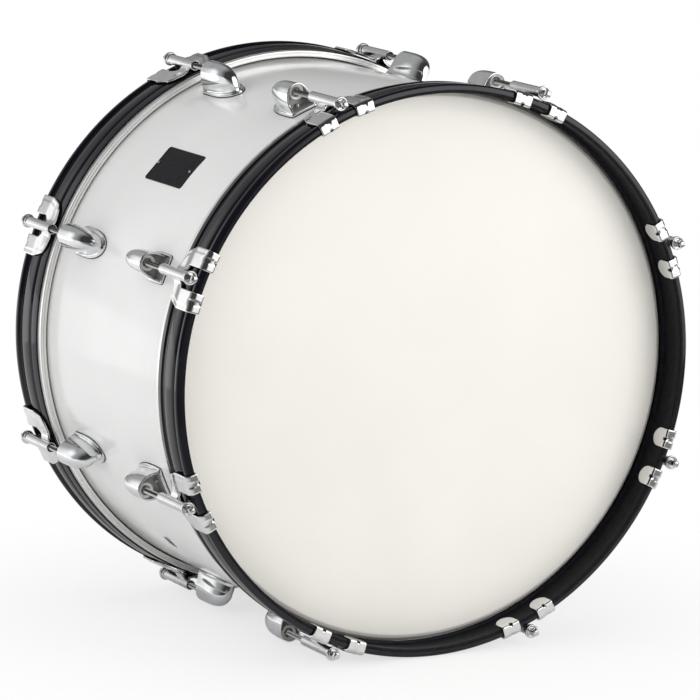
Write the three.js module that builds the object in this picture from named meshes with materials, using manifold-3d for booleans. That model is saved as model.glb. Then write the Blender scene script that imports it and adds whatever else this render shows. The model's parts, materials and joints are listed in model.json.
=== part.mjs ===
// A marching bass drum, 22 inches across and 12 1/2 inches deep, in millimetres.
// The drum lies on its side: its axis runs along Y, the front head faces -Y and +Z is up.
// The origin is on the floor, under the middle of the drum.

import * as THREE from 'three';
import { mergeVertices } from 'three/addons/utils/BufferGeometryUtils.js';
import Module from 'manifold-3d';

const wasm = await Module();
wasm.setup();

// Driving dimensions of the drum.
const shellRadius = 277.5;
const shellDepth = 318;
const hoopStandOff = 12.5;
const hoopWidth = 49;
const hoopProjection = 35.5;
const rodStandOff = 8.5;
const clearance = 0.3;

// The hoop's outside stands off the shell, and the rods stand off the hoop.
const hoopRadius = shellRadius + hoopStandOff;
const rodCircleRadius = hoopRadius + rodStandOff;

// Counts: the sides of every turned ring, and the tension points on each end.
const ringSides = 48;
const lugCount = 8;
const shaftSides = 8;
const screwSides = 6;
const ventSides = 12;

// A ring is a polygon whose flats lie at its radius and whose corners stand out a little.
const halfSide = Math.PI / ringSides;
const cornerFactor = 1 / Math.cos(halfSide);
const lugPitch = (2 * Math.PI) / lugCount;
const halfDepth = shellDepth / 2;
const hoopFreeEdge = halfDepth + hoopProjection;
const hoopShellEdge = hoopFreeEdge - hoopWidth;

// Shell: bent plies under a plastic wrap, with a sharpened bearing edge at each end.
const plyThickness = 7;
const wrapThickness = 0.8;
const wrapStopsShort = 13;
const bearingEdgeFlat = 1;
const bearingOuterCut = 2.6;
const bearingInnerCut = 3.4;
const plyOuterRadius = shellRadius - wrapThickness - clearance;
const plyInnerRadius = plyOuterRadius - plyThickness;

// Head: a plastic film that folds over the bearing edge into the flesh hoop, where its
// collar bends just above the hoop.
const filmThickness = 0.5;
const collarGap = 3.9;
const collarRadius = shellRadius + collarGap;
const collarLift = 1;
const collarSkirt = 8;
const collarShoulder = 2.2;

// Flesh hoop: an aluminium ring with a slot that holds the edge of the film.
const fleshInnerGap = 0.6;
const fleshThickness = 7.3;
const fleshHeight = 12.6;
const fleshOverlap = 5;
const fleshInnerRadius = shellRadius + fleshInnerGap;
const fleshOuterRadius = fleshInnerRadius + fleshThickness;
const fleshTop = hoopShellEdge + fleshOverlap;
const collarBend = fleshTop + collarLift;
const skirtEnd = collarBend - collarSkirt;

// Counter hoop: depths are measured from its free edge, radii below its outside.
const hoopLip = 1.4;
const hoopGroove = 3.2;
const hoopBand = 1.6;
const beadFace = 2.8;
const beadWidth = 8.4;
const beadRadial = 8.9;
const grooveFlat = 3;
const grooveSlope = 2;
const bandWidth = 19;
const wallRecess = 2;
const ledgeRise = 6.3;
const ledgeTip = 1.6;
const ledgeReach = 0.9;
const ledgeClearance = 0.4;

// Claw: a tube for the rod between two feet that hook over the free edge.
const tubeRadius = 5.2;
const tubeBoreRadius = 3.9;
const tubeLength = 58;
const tubeSetBack = 5;
const clawSheet = 2;
const footWidth = 20.2;
const footSpread = 43;
const tabLength = 22;
const wingLength = 19;
const tailWidth = 12;

// Tension rod: a threaded rod with a flange and a square key head.
const rodRadius = 2.9;
const rodSeated = 26;
const flangeRadius = 7.2;
const flangeThickness = 2.2;
const keyWidth = 6.4;
const keyLength = 10.5;

// Lug: a cast bullet with an arched mouth that faces its hoop. Its crown rises over its rod.
const lugInset = 57;
const lugMouth = halfDepth - lugInset;
const lugLength = 57;
const lugHalfWidth = 13.4;
const baseHalfWidth = 15.5;
const baseLength = 59;
const baseThickness = 2.6;
const lugCrown = 8.3;
const lugFoot = shellRadius + clearance;
const rodHeight = rodCircleRadius - lugFoot;
const lugHeight = rodHeight + lugCrown;
const mouthLean = 4;
const lugWall = 2.2;
const mouthPocket = 8;
const nutRadius = 5.5;
const nutBoreRadius = 3.8;
const nutProud = 3;
const nutSeated = 12;
const tailRoom = 4;

// Lug screws: two to a lug, put in from inside the shell.
const screwRadius = 2;
const screwHoleRadius = 2.8;
const screwHeadRadius = 4;
const screwHeadHeight = 2.6;
const screwGrip = 6;
const screwDepths = [14, 44];

// Badge plate and vent grommet, placed by their angle from the top.
const badgeAngle = THREE.MathUtils.degToRad(-46.2);
const badgeLength = 82;
const badgeWidth = 42;
const badgeThickness = 0.8;
const pinRadius = 1.6;
const pinHeight = 0.8;
const pinInset = 5;
const ventAngle = THREE.MathUtils.degToRad(-135);
const ventOffset = 12;
const ventFlangeRadius = 10;
const ventBarrelRadius = 6.6;
const ventBoreRadius = 5;
const ventFlangeHeight = 1.8;

// How far a cutter runs past what it cuts, and how near two corners are one.
const overrun = 5;
const weldDistance = 0.0001;

const finishes = {
  wood: { color: 0xc8a878, roughness: 0.7, metalness: 0 },
  white: { color: 0xecebe9, roughness: 0.18, metalness: 0 },
  film: { color: 0xe8e4dc, roughness: 0.45, metalness: 0 },
  aluminium: { color: 0xcfccc4, roughness: 0.35, metalness: 0.9 },
  black: { color: 0x101012, roughness: 0.15, metalness: 0 },
  chrome: { color: 0xd6d8da, roughness: 0.12, metalness: 1 },
  steel: { color: 0xb8b6b0, roughness: 0.35, metalness: 0.9 },
  badge: { color: 0x202124, roughness: 0.4, metalness: 0.3 },
};

// Names a geometry as one piece of the drum in one of the finishes.
function piece(name, geometry, finish) {
  const mesh = new THREE.Mesh(geometry, new THREE.MeshStandardMaterial(finishes[finish]));
  mesh.name = name;
  return mesh;
}

// Leaves only the merged positions of a geometry, as joining and cutting need.
function positionsOnly(geometry) {
  const bare = geometry.clone();
  bare.deleteAttribute('normal');
  bare.deleteAttribute('uv');
  return mergeVertices(bare, weldDistance);
}

// Turns a closed geometry into a solid that can be joined and cut.
function solid(geometry) {
  const merged = positionsOnly(geometry);
  return new wasm.Manifold(new wasm.Mesh({
    numProp: 3,
    vertProperties: new Float32Array(merged.attributes.position.array),
    triVerts: new Uint32Array(merged.index.array),
  }));
}

// Turns a solid back into a geometry.
function geometryOf(body) {
  const mesh = body.getMesh();
  const geometry = new THREE.BufferGeometry();
  geometry.setAttribute('position', new THREE.BufferAttribute(mesh.vertProperties, 3));
  geometry.setIndex(new THREE.BufferAttribute(mesh.triVerts, 1));
  geometry.computeVertexNormals();
  return geometry;
}

// Turns a closed outline of [radius, depth] points about the drum's axis.
// The outline runs clockwise with the radius to the right and the depth upwards.
function ring(outline) {
  const closed = [...outline, outline[0]].reverse();
  const points = closed.map(([r, y]) => new THREE.Vector2(r * cornerFactor, y));
  return new THREE.LatheGeometry(points, ringSides, halfSide);
}

// Turns an outline that starts and ends on the axis, with sides chosen by the caller.
function turned(outline, sides, start = 0) {
  const points = outline.map(([r, y]) => new THREE.Vector2(r, y));
  return new THREE.LatheGeometry(points, sides, start);
}

// A box between two corners.
function block(x0, x1, y0, y1, z0, z1) {
  const box = new THREE.BoxGeometry(x1 - x0, y1 - y0, z1 - z0);
  return box.translate((x0 + x1) / 2, (y0 + y1) / 2, (z0 + z1) / 2);
}

// A sheet with an outline of [x, y] points that lies between two heights.
function sheet(outline, bottom, top) {
  const shape = new THREE.Shape(outline.map(([x, y]) => new THREE.Vector2(x, y)));
  const options = { depth: top - bottom, bevelEnabled: false };
  return new THREE.ExtrudeGeometry(shape, options).translate(0, 0, bottom);
}

// A round bar along Y, closed at both ends.
function barAlongY(radius, y0, y1, z, sides) {
  return turned([[0, y0], [radius, y0], [radius, y1], [0, y1]], sides, Math.PI / sides)
    .translate(0, 0, z);
}

// A round bar along Z, closed at both ends.
function barAlongZ(radius, z0, z1, sides) {
  return turned([[0, z0], [radius, z0], [radius, z1], [0, z1]], sides, Math.PI / sides)
    .rotateX(Math.PI / 2);
}

// Angles of the tension points, the first one half a pitch from the top.
function lugAngles() {
  return Array.from({ length: lugCount }, (_, i) => (i + 1 / 2) * lugPitch);
}

// Every radial hole through the shell: two screws to a lug on each end, and the vent.
function shellHoles() {
  const through = [plyInnerRadius - overrun, shellRadius + overrun];
  const drills = [];
  for (const end of [-1, 1]) {
    for (const angle of lugAngles()) {
      for (const depth of screwDepths) {
        const drill = barAlongZ(screwHoleRadius, ...through, screwSides);
        drills.push(drill.translate(0, end * (lugMouth - depth), 0).rotateY(angle));
      }
    }
  }
  const vent = barAlongZ(ventBarrelRadius + clearance * 2, ...through, shaftSides);
  drills.push(vent.translate(0, ventOffset, 0).rotateY(ventAngle));
  return drills.map(solid).reduce((all, drill) => all.add(drill));
}

// The bent wooden shell, with a bearing edge cut at both ends.
function shell(holes) {
  const peak = plyOuterRadius - bearingOuterCut;
  const inner = peak - bearingEdgeFlat;
  const outer = halfDepth - bearingOuterCut;
  const foot = halfDepth - bearingInnerCut;
  const wall = ring([
    [plyInnerRadius, -foot],
    [plyInnerRadius, foot],
    [inner, halfDepth],
    [peak, halfDepth],
    [plyOuterRadius, outer],
    [plyOuterRadius, -outer],
    [peak, -halfDepth],
    [inner, -halfDepth],
  ]);
  return geometryOf(solid(wall).subtract(holes));
}

// The plastic wrap round the shell, which stops short under the flesh hoops.
function wrap(holes) {
  const end = halfDepth - wrapStopsShort;
  const inner = shellRadius - wrapThickness;
  const skin = ring([[inner, -end], [inner, end], [shellRadius, end], [shellRadius, -end]]);
  return geometryOf(solid(skin).subtract(holes));
}

// The film of a head: flat across the bearing edge, then a collar and a skirt.
function film() {
  const under = halfDepth + clearance;
  const top = under + filmThickness;
  const peak = plyOuterRadius - bearingOuterCut;
  const shoulder = plyOuterRadius + clearance * 2;
  const skirtInner = collarRadius - filmThickness;
  const outline = [
    [0, under],
    [peak, under],
    [shoulder, under - collarShoulder],
    [skirtInner, collarBend],
    [skirtInner, skirtEnd],
    [collarRadius, skirtEnd],
    [collarRadius, collarBend],
    [shoulder + filmThickness, top - collarShoulder],
    [peak + clearance, top],
    [0, top],
  ];
  const points = outline.map(([r, y]) => new THREE.Vector2(r * cornerFactor, y));
  return new THREE.LatheGeometry(points, ringSides, halfSide);
}

// The flesh hoop, with a slot round its top for the skirt of the film.
function fleshHoop() {
  const bottom = fleshTop - fleshHeight;
  const slotInner = collarRadius - filmThickness - clearance;
  const slotOuter = collarRadius + clearance;
  const slotFloor = skirtEnd - clearance;
  return ring([
    [fleshInnerRadius, bottom],
    [fleshInnerRadius, fleshTop],
    [slotInner, fleshTop],
    [slotInner, slotFloor],
    [slotOuter, slotFloor],
    [slotOuter, fleshTop],
    [fleshOuterRadius, fleshTop],
    [fleshOuterRadius, bottom],
  ]);
}

// The counter hoop: a rolled bead, two grooves with a band between, a lip over the
// flesh hoop and a ledge inside that presses the flesh hoop down.
function counterHoop() {
  const y = (depth) => hoopFreeEdge - depth;
  const inner = hoopRadius - beadRadial;
  const wall = inner + wallRecess;
  const lipInner = fleshOuterRadius + clearance;
  const groove = hoopRadius - hoopGroove;
  const band = hoopRadius - hoopBand;
  const lip = hoopRadius - hoopLip;
  const grooveStart = beadWidth + grooveSlope / 2;
  const bandStart = grooveStart + grooveFlat + grooveSlope;
  const bandEnd = bandStart + bandWidth;
  const lipStart = bandEnd + grooveFlat + grooveSlope * 2;
  const ledge = hoopFreeEdge - fleshTop - clearance;
  const ledgeInner = collarRadius - ledgeReach;
  const ledgeTop = ledge - ledgeRise - ledgeTip;
  return ring([
    [inner, y(0)],
    [hoopRadius - beadFace, y(0)],
    [hoopRadius, y(beadFace)],
    [hoopRadius, y(beadFace * 2)],
    [groove, y(grooveStart)],
    [groove, y(grooveStart + grooveFlat)],
    [band, y(bandStart)],
    [band, y(bandEnd)],
    [groove, y(bandEnd + grooveSlope)],
    [groove, y(lipStart - grooveSlope)],
    [lip, y(lipStart)],
    [lip, y(hoopWidth)],
    [lipInner, y(hoopWidth)],
    [lipInner, y(ledge)],
    [collarRadius + ledgeClearance * 2, y(ledge)],
    [ledgeInner, y(ledge - ledgeRise)],
    [ledgeInner, y(ledgeTop)],
    [wall, y(ledgeTop - ledgeTip)],
    [wall, y(beadWidth + wallRecess)],
    [inner, y(beadWidth)],
  ]);
}

// One foot of a claw, built over the drum's top: a wing on the hoop's band, a fold
// over the free edge and a round tab inside.
function clawFoot(side) {
  const half = footWidth / 2;
  const seat = hoopRadius * cornerFactor + clearance;
  const tabTop = hoopRadius - beadRadial - clearance * 2;
  const front = hoopFreeEdge + clearance + clawSheet;
  const wingEnd = hoopFreeEdge - wingLength;
  const tail = hoopShellEdge - clawSheet / 2;
  const centre = -footSpread / 2;
  const wing = [
    [half, front],
    [half, wingEnd],
    [half - clawSheet * 2, wingEnd - tailWidth],
    [-clawSheet, tail + tailWidth / 2],
    [centre, tail],
    [centre, tail + tailWidth],
    [-half - clawSheet, tail + tailWidth + clawSheet * 2],
    [-half, wingEnd],
    [-half, front],
  ].map(([x, y]) => [side * x, y]);
  const tab = [[half, front], [-half, front]];
  const tabSteps = 4;
  for (let i = 0; i <= tabSteps; i += 1) {
    const turn = (Math.PI * i) / tabSteps;
    tab.push([-half * Math.cos(turn), front - tabLength + half - half * Math.sin(turn)]);
  }
  const fold = block(-half, half, front - clawSheet, front, tabTop - clawSheet, seat + clawSheet);
  const foot = solid(sheet(wing, seat, seat + clawSheet))
    .add(solid(fold))
    .add(solid(sheet(tab, tabTop - clawSheet, tabTop)));
  return solid(geometryOf(foot).rotateY((side * footSpread) / 2 / hoopRadius));
}

// The claw over the drum's top: two feet, gussets and the tube for the rod.
function claw() {
  const front = hoopFreeEdge - tubeSetBack;
  const tubeEnd = front - tubeLength;
  const tube = solid(barAlongY(tubeRadius, tubeEnd, front, rodCircleRadius, shaftSides));
  const bore = solid(barAlongY(
    tubeBoreRadius, tubeEnd - overrun, front + overrun, rodCircleRadius, screwSides));
  const seat = hoopRadius * cornerFactor + clearance;
  const web = solid(block(
    -tubeRadius, tubeRadius,
    hoopShellEdge, hoopShellEdge + tailWidth,
    seat + clawSheet / 2, rodCircleRadius));
  return geometryOf(clawFoot(1).add(clawFoot(-1)).add(web).add(tube).subtract(bore));
}

// The tension rod, along Y on its own axis.
function tensionRod() {
  const seat = hoopFreeEdge - tubeSetBack + clearance;
  const flange = seat + flangeThickness;
  const tail = lugMouth - rodSeated;
  const shaft = turned([
    [0, tail],
    [rodRadius, tail],
    [rodRadius, seat],
    [flangeRadius, seat],
    [flangeRadius, flange],
    [0, flange],
  ], shaftSides, Math.PI / shaftSides);
  const half = keyWidth / 2;
  const key = block(-half, half, flange - flangeThickness / 2, flange + keyLength, -half, half);
  return geometryOf(solid(shaft).add(solid(key)));
}

// Half width and height of the lug's arch, as shares of its largest, along its length.
const lugLengthShares = [0, 0.3, 0.62, 0.88, 1];
const lugWidthShares = [0.98, 1, 0.92, 0.68, 0.46];
const lugHeightShares = [0.97, 1, 0.86, 0.58, 0.3];
const archSteps = 6;
const archPower = 0.78;

// Half width of the lug's base plate, as shares of its largest, along its length.
const baseLengthShares = [0, 0.35, 0.7, 0.9, 1];
const baseWidthShares = [0.85, 1, 0.84, 0.5, 0.16];

// One arch across the lug, from one foot over the crown to the other.
function archPoints(halfWidth, height, y, lean) {
  return Array.from({ length: archSteps + 1 }, (_, i) => {
    const turn = (Math.PI * i) / archSteps;
    const across = Math.cos(turn);
    const up = Math.pow(Math.max(Math.sin(turn), 0), archPower);
    const x = halfWidth * Math.sign(across) * Math.pow(Math.abs(across), archPower);
    return [x, y + lean * up, height * up];
  });
}

// A closed solid through a row of arches, flat underneath.
function loft(arches) {
  const size = arches[0].length;
  const positions = arches.flat(2);
  const index = [];
  for (let a = 0; a + 1 < arches.length; a += 1) {
    for (let i = 0; i < size; i += 1) {
      const here = a * size + i;
      const next = a * size + (i + 1) % size;
      index.push(here, next, here + size, next, next + size, here + size);
    }
  }
  const last = (arches.length - 1) * size;
  for (let i = 1; i + 1 < size; i += 1) {
    index.push(0, i + 1, i, last, last + i, last + i + 1);
  }
  const geometry = new THREE.BufferGeometry();
  geometry.setAttribute('position', new THREE.Float32BufferAttribute(positions, 3));
  geometry.setIndex(index);
  geometry.computeVertexNormals();
  return geometry;
}

// The lug over the drum's top, with its mouth towards +Y, its nut in the mouth and its
// two screws through the shell.
function lug() {
  const body = solid(loft(lugLengthShares.map((share, i) => archPoints(
    lugHalfWidth * lugWidthShares[i], lugHeight * lugHeightShares[i],
    -lugLength * share, i === 0 ? mouthLean : 0))));
  const edge = baseLengthShares.map((share, i) => [
    baseHalfWidth * baseWidthShares[i], -baseLength * share]);
  const plate = solid(sheet(
    [...edge, ...edge.map(([x, y]) => [-x, y]).reverse()], 0, baseThickness));
  const pocketHalf = lugHalfWidth - lugWall * 2;
  const pocketTop = lugHeight * lugHeightShares[0] - lugWall - baseThickness;
  const pocket = solid(loft([
    archPoints(pocketHalf, pocketTop, overrun, mouthLean),
    archPoints(pocketHalf, pocketTop, -mouthPocket, mouthLean),
  ]).translate(0, 0, baseThickness));
  const nutFace = nutProud - mouthPocket;
  const nut = solid(barAlongY(nutRadius, -mouthPocket - nutSeated, nutFace, rodHeight, shaftSides));
  const boreEnd = -rodSeated - tailRoom;
  const bore = solid(barAlongY(nutBoreRadius, boreEnd, overrun, rodHeight, screwSides));
  let casting = body.add(plate).subtract(pocket).add(nut).subtract(bore);
  for (const depth of screwDepths) {
    const head = plyInnerRadius - clearance - lugFoot;
    const shank = barAlongZ(screwRadius, head - clearance, screwGrip, screwSides);
    const cap = barAlongZ(screwHeadRadius, head - screwHeadHeight, head, screwSides);
    const screw = solid(shank).add(solid(cap)).translate([0, -depth, 0]);
    casting = casting.add(screw);
  }
  return geometryOf(casting).translate(0, lugMouth, lugFoot);
}

// A point on a flat-sided ring: the angle is from the top, the radius that of the flats.
function onRing(angle, radius) {
  const flat = Math.round(angle / (2 * halfSide)) * 2 * halfSide;
  const reach = radius / Math.cos(angle - flat);
  return [reach * Math.sin(angle), reach * Math.cos(angle)];
}

// The badge: a thin plate bent round the shell, with a pin at each end.
function badge() {
  const half = badgeWidth / 2 / shellRadius;
  const start = badgeAngle - half;
  const stop = badgeAngle + half;
  const corner = (Math.ceil(start / (2 * halfSide) - 1 / 2) + 1 / 2) * 2 * halfSide;
  const bends = corner < stop ? [start, corner, stop] : [start, stop];
  const inner = shellRadius + clearance;
  const outer = inner + badgeThickness;
  const outline = [
    ...bends.map((angle) => onRing(angle, inner)),
    ...bends.map((angle) => onRing(angle, outer)).reverse(),
  ];
  const plate = sheet(outline, -badgeLength / 2, badgeLength / 2).rotateX(Math.PI / 2);
  const flat = Math.round(badgeAngle / (2 * halfSide)) * 2 * halfSide;
  const slide = shellRadius * Math.tan(badgeAngle - flat);
  const reach = badgeLength / 2 - pinInset;
  const pins = [-reach, reach].map((y) => {
    const pin = barAlongZ(pinRadius, outer - badgeThickness / 2, outer + pinHeight, shaftSides);
    return solid(pin.translate(slide, y, 0).rotateY(flat));
  });
  return geometryOf(pins.reduce((all, pin) => all.add(pin), solid(plate)));
}

// The vent grommet: a flanged eyelet through the shell and its wrap.
function ventGrommet() {
  const flange = shellRadius + clearance;
  const face = flange + ventFlangeHeight;
  const end = plyInnerRadius - ventFlangeHeight;
  return turned([
    [ventBoreRadius, end],
    [ventBarrelRadius, end],
    [ventBarrelRadius, flange],
    [ventFlangeRadius, flange],
    [ventFlangeRadius - ventFlangeHeight, face],
    [ventBoreRadius, face],
    [ventBoreRadius, end],
  ], ventSides).rotateX(Math.PI / 2).translate(0, ventOffset, 0).rotateY(ventAngle);
}

// One end of the drum: its hoop, head, claws, rods and lugs, built towards +Y.
function drumEnd(end) {
  const group = new THREE.Group();
  group.add(piece(`${end}_counter_hoop`, counterHoop(), 'black'));
  group.add(piece(`${end}_head_film`, film(), 'film'));
  group.add(piece(`${end}_flesh_hoop`, fleshHoop(), 'aluminium'));
  const clawShape = claw();
  const rodShape = tensionRod();
  const lugShape = lug();
  lugAngles().forEach((angle, i) => {
    const place = new THREE.Group();
    place.rotation.y = angle;
    place.add(piece(`${end}_claw_${i + 1}`, clawShape, 'chrome'));
    place.add(piece(`${end}_lug_${i + 1}`, lugShape, 'chrome'));
    const rod = piece(`${end}_tension_rod_${i + 1}`, rodShape, 'chrome');
    rod.position.z = rodCircleRadius;
    place.add(rod);
    group.add(place);
  });
  return group;
}

const drum = new THREE.Group();
drum.position.z = hoopRadius;
const holes = shellHoles();
drum.add(piece('shell', shell(holes), 'wood'));
drum.add(piece('shell_wrap', wrap(holes), 'white'));
drum.add(piece('badge', badge(), 'badge'));
drum.add(piece('vent_grommet', ventGrommet(), 'chrome'));
const frontEnd = drumEnd('front');
frontEnd.rotation.z = Math.PI;
drum.add(frontEnd, drumEnd('rear'));

const marchingBassDrum = new THREE.Group();
marchingBassDrum.add(drum);

export default marchingBassDrum;
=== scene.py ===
# %% [markdown]
# A marching bass drum, dressed over its imported model.
# The imported model is the frame: it says where each piece is and what moves with what. We load it
# first, and read its boxes for the main sizes.

# %% Load the frame
import json
import math

import bpy
import numpy as np
from mathutils import Matrix, Vector


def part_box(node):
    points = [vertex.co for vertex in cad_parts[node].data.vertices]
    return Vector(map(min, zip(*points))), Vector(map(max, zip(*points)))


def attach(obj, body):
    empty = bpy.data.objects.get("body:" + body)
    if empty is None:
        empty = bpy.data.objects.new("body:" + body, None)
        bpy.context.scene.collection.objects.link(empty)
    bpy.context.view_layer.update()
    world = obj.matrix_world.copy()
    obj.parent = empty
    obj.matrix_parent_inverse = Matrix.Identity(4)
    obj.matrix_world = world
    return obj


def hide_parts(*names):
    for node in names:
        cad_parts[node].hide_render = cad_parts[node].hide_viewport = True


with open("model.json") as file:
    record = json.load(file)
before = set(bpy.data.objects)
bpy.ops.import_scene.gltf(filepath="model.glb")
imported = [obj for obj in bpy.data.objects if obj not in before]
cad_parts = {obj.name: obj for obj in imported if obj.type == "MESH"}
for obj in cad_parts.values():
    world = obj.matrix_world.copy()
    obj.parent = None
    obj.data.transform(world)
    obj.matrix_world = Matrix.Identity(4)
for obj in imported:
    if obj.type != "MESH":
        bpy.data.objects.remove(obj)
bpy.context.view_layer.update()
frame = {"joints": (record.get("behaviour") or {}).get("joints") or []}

scene = bpy.context.scene

# %% [markdown]
# A drum is a stack of rings round one axis, so every piece is worked out in millimetres, over the
# top of the rear end: x runs round the drum, y runs outward along the axis and z is the distance
# from the axis. The main sizes come from the frame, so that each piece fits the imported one.

# %% Sizes read from the frame
mm = 0.001
COUNT = 8


def span(node):
    """Lowest and highest corner of a node of the frame, in millimetres."""
    low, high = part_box(node)
    return np.array(low) / mm, np.array(high) / mm


hoop_low, hoop_high = span("rear_counter_hoop")
hoop_radius = (hoop_high[0] - hoop_low[0]) / 2
free_edge, hoop_shell_edge = hoop_high[1], hoop_low[1]
axis_height = hoop_radius
wrap_low, wrap_high = span("shell_wrap")
shell_radius = (wrap_high[0] - wrap_low[0]) / 2
wrap_end = wrap_high[1]
half_depth = span("shell")[1][1]
film_low, film_high = span("rear_head_film")
collar_radius = (film_high[0] - film_low[0]) / 2
film_top, skirt_end = film_high[1], film_low[1]
flesh_low, flesh_high = span("rear_flesh_hoop")
flesh_outer = (flesh_high[0] - flesh_low[0]) / 2
flesh_top, flesh_bottom = flesh_high[1], flesh_low[1]
rod_low, rod_high = span("rear_tension_rod_1")
rod_tail, key_end = rod_low[1], rod_high[1]
lug_tail = span("rear_lug_1")[0][1]
turn_joint = next(j for j in frame["joints"] if j["name"] == "rear_rod_1_turn")
rod_circle = math.hypot(turn_joint["pos_m"][0] / mm, turn_joint["pos_m"][2] / mm - axis_height)
print("hoop radius", hoop_radius, "free edge", free_edge, "shell radius", shell_radius)
print("rod circle", round(rod_circle, 2), "film top", film_top, "rod from", rod_tail, "to", key_end)

ENDS = ("front", "rear")
lug_angles = [(i + 0.5) * 2 * math.pi / COUNT for i in range(COUNT)]
stations = [(end, i, angle) for end in ENDS for i, angle in enumerate(lug_angles, 1)]
print("stations with a claw, a rod and a lug:", len(stations))

# %% [markdown]
# Most pieces of a drum are turned, rolled or bent, so they start as an outline. Real metal has no
# sharp corners, and a rounded corner is what catches the light, so each corner gets its radius
# here, in the outline, where it is exact and costs few points.


# %% Round the corners of an outline
def rounded(corners, steps=5):
    """Rounds each corner (r, y, radius) of a closed outline by an arc that touches both sides.

    The arc starts radius / tan(half the corner's angle) from the corner, or just under half a
    side where that is less, and its points turn evenly round its centre.
    """
    flat = np.array(corners, float)
    points = []
    for i, (r, y, radius) in enumerate(flat):
        here = np.array([r, y])
        before, after = flat[i - 1, :2] - here, flat[(i + 1) % len(flat), :2] - here
        room = 0.49 * min(np.linalg.norm(before), np.linalg.norm(after))
        before, after = before / np.linalg.norm(before), after / np.linalg.norm(after)
        half = math.acos(np.clip(before @ after, -1, 1)) / 2
        if radius == 0 or half > math.radians(89):
            points.append(here)
            continue
        reach = min(radius / math.tan(half), room)
        bend = reach * math.tan(half)
        centre = here + (before + after) / np.linalg.norm(before + after) * bend / math.sin(half)
        start, stop = here + before * reach - centre, here + after * reach - centre
        sweep = math.pi - 2 * half
        for k in np.linspace(0, 1, steps):
            mixed = math.sin((1 - k) * sweep) * start + math.sin(k * sweep) * stop
            points.append(centre + mixed / math.sin(sweep))
    return np.array(points)


print("a square with round corners:", len(rounded([(0, 0, 1), (9, 0, 1), (9, 9, 1), (0, 9, 1)])), "points")

# %% [markdown]
# A solid is three arrays: points, four-sided faces and three-sided faces. One helper joins a stack
# of closed rings by faces, and every piece of the drum but a claw's sheet starts from its result.
# The faces are numbered with whole arrays, because a loop over thousands of points would be slow.


# %% Make a solid of rings
def outward(points, quads, tris):
    """Turns the faces round where the volume they enclose, the sum of a . (b x c) / 6, is negative."""
    corners = points[np.concatenate([quads[:, [0, 1, 2]], quads[:, [0, 2, 3]], tris])]
    middle = points.mean(0)
    a, b, c = (corners[:, i] - middle for i in range(3))
    if np.einsum("ij,ij->i", a, np.cross(b, c)).sum() < 0:
        quads, tris = quads[:, ::-1], tris[:, ::-1]
    return points, quads, tris


def lofted(rings, loop=False):
    """Joins closed rings, an array of rows x columns x 3, by quads.

    A loop joins its last ring to its first. Otherwise a fan of triangles closes both ends.
    """
    rows, columns = rings.shape[:2]
    index = np.arange(rows * columns).reshape(rows, columns)
    beside = np.roll(index, -1, axis=1)
    above, above_beside = np.roll(index, -1, axis=0), np.roll(beside, -1, axis=0)
    kept = slice(None) if loop else slice(0, rows - 1)
    quads = np.stack([index, beside, above_beside, above], -1)[kept].reshape(-1, 4)
    points, tris = rings.reshape(-1, 3), np.zeros((0, 3), int)
    if not loop:
        points = np.vstack([points, rings[0].mean(0), rings[-1].mean(0)])
        first, last = rows * columns, rows * columns + 1
        start = np.stack([np.full(columns, first), beside[0], index[0]], -1)
        stop = np.stack([np.full(columns, last), index[-1], beside[-1]], -1)
        tris = np.concatenate([start, stop])
    return outward(points, quads, tris)


def together(*solids):
    """Puts several closed solids into one mesh, with their face numbers moved on."""
    shift, points, quads, tris = 0, [], [], []
    for part_points, part_quads, part_tris in solids:
        points.append(part_points)
        quads.append(part_quads + shift)
        tris.append(part_tris + shift)
        shift += len(part_points)
    return np.vstack(points), np.vstack(quads), np.vstack(tris)


def turned(outline, sides, closed=True):
    """Turns an outline of (r, y) about the Y axis: x = r sin t and z = r cos t.

    A closed outline makes a ring. An open one starts and ends near the axis and gets two caps.
    """
    turn = np.arange(sides) * 2 * math.pi / sides
    r, y = outline[:, 0], outline[:, 1]
    rings = np.stack([np.outer(r, np.sin(turn)), np.outer(y, np.ones(sides)),
                      np.outer(r, np.cos(turn))], -1)
    return lofted(rings, loop=closed)


washer = turned(rounded([(3, 0, 0.2), (6, 0, 0.2), (6, 1, 0.2), (3, 1, 0.2)]), 24)
print("a washer with rounded edges:", len(washer[0]), "points and", len(washer[1]), "quads")


# %% Move, bend and place a solid
def moved(solid, x=0.0, y=0.0, z=0.0):
    """The same solid, moved."""
    points, quads, tris = solid
    return points + np.array([x, y, z]), quads, tris


def stood_up(solid):
    """Turns a solid built along Y so that it points along Z."""
    points, quads, tris = solid
    return points[:, [0, 2, 1]] * np.array([1, -1, 1]), quads, tris


def bent_round(solid, radius):
    """Bends a flat solid round the drum: x becomes an angle x / radius, and z stays a radius."""
    points, quads, tris = solid
    angle = points[:, 0] / radius
    bent = np.stack([points[:, 2] * np.sin(angle), points[:, 1],
                     points[:, 2] * np.cos(angle)], -1)
    return bent, quads, tris


def at_place(solid, end, angle):
    """Turns a solid from the top of the rear end by an angle about the drum's axis.

    x' = x cos a + z sin a and z' = z cos a - x sin a. The front end is the rear one turned half
    round the upright axis.
    """
    points, quads, tris = solid
    x, y, z = points.T
    c, s = math.cos(angle), math.sin(angle)
    way = 1 if end == "rear" else -1
    placed = np.stack([way * (x * c + z * s), way * y, z * c - x * s], -1)
    return placed, quads, tris


placed_washer = at_place(moved(stood_up(washer), z=shell_radius), "front", lug_angles[0])
print("the washer on the shell, turned to the first lug:", placed_washer[0].mean(0).round(1))

# %% [markdown]
# Each piece of the drum is one object at the origin, with its place in its mesh. It rides on a body
# of the frame, so that it moves with its hoop or turns with its rod. Where a node of the frame is
# the same thing in plain form, the piece names that node and takes its place.

# %% Make a piece of a solid
CREASE = math.radians(38)
print("edges sharper than", round(math.degrees(CREASE)), "degrees stay sharp")


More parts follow.
